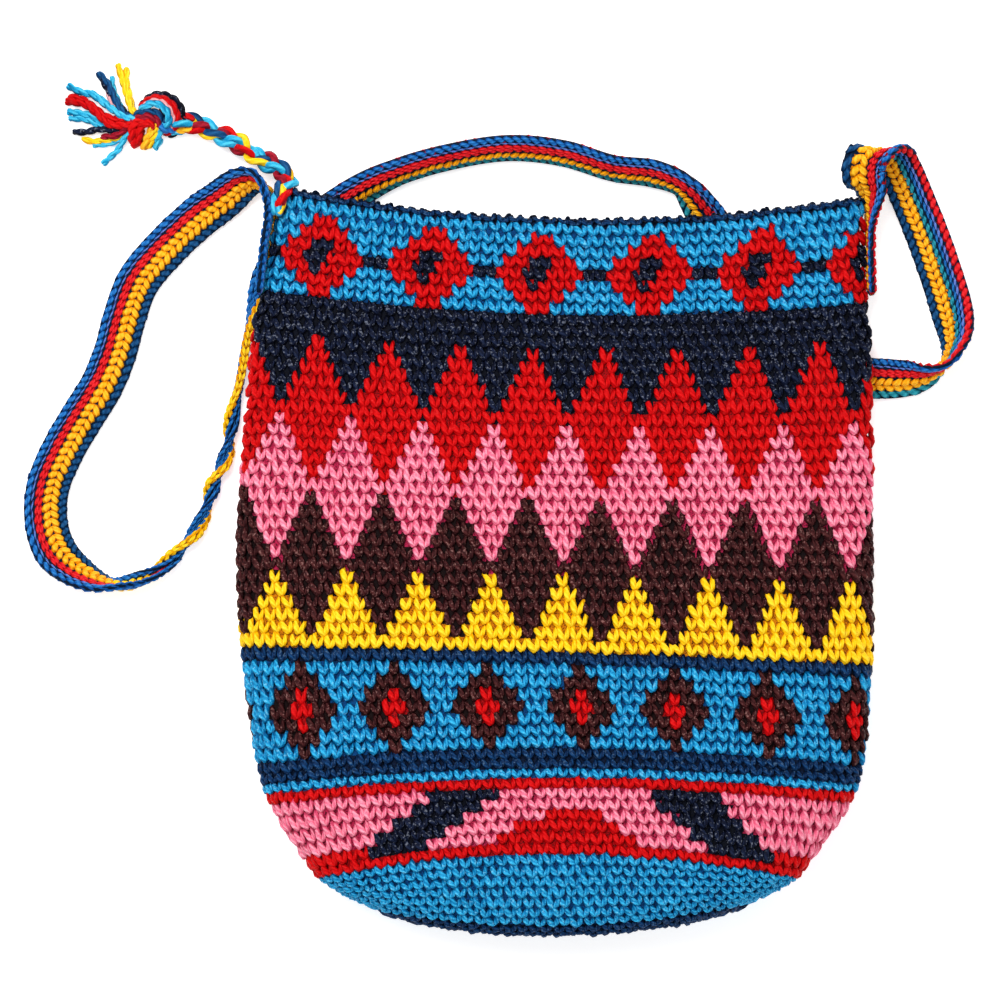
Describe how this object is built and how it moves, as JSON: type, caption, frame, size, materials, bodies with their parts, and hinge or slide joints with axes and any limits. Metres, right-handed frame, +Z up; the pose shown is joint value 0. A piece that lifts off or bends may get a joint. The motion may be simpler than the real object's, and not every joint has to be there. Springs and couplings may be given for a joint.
{
  "type": "wayuu mochila bag",
  "caption": "Soft crocheted shoulder bag with a round base, an open mouth, a narrow woven shoulder strap and a braided tail with a tassel, lying on its back.",
  "frame": {"origin": "on the surface the bag lies on, under the middle of the bag body", "axes": "+Z up out of the bag's front face, +Y from its base towards its mouth, +X to the right as the front is seen"},
  "size_m": [0.4199, 0.3831, 0.0506],
  "materials": {
    "crochet_cotton": "tapestry crochet in cotton yarn: sky blue, red, navy, pink, dark brown and yellow",
    "woven_strap": "woven cotton band striped blue, red, gold and navy",
    "tail_yarn": "braided and knotted cotton yarn in red, yellow, turquoise and navy"
  },
  "bodies": {
    "root": {"bag_body": "crochet_cotton", "shoulder_strap": "woven_strap", "tail_braid": "tail_yarn", "tail_knot": "tail_yarn", "tail_tassel": "tail_yarn"}
  },
  "joints": []
}
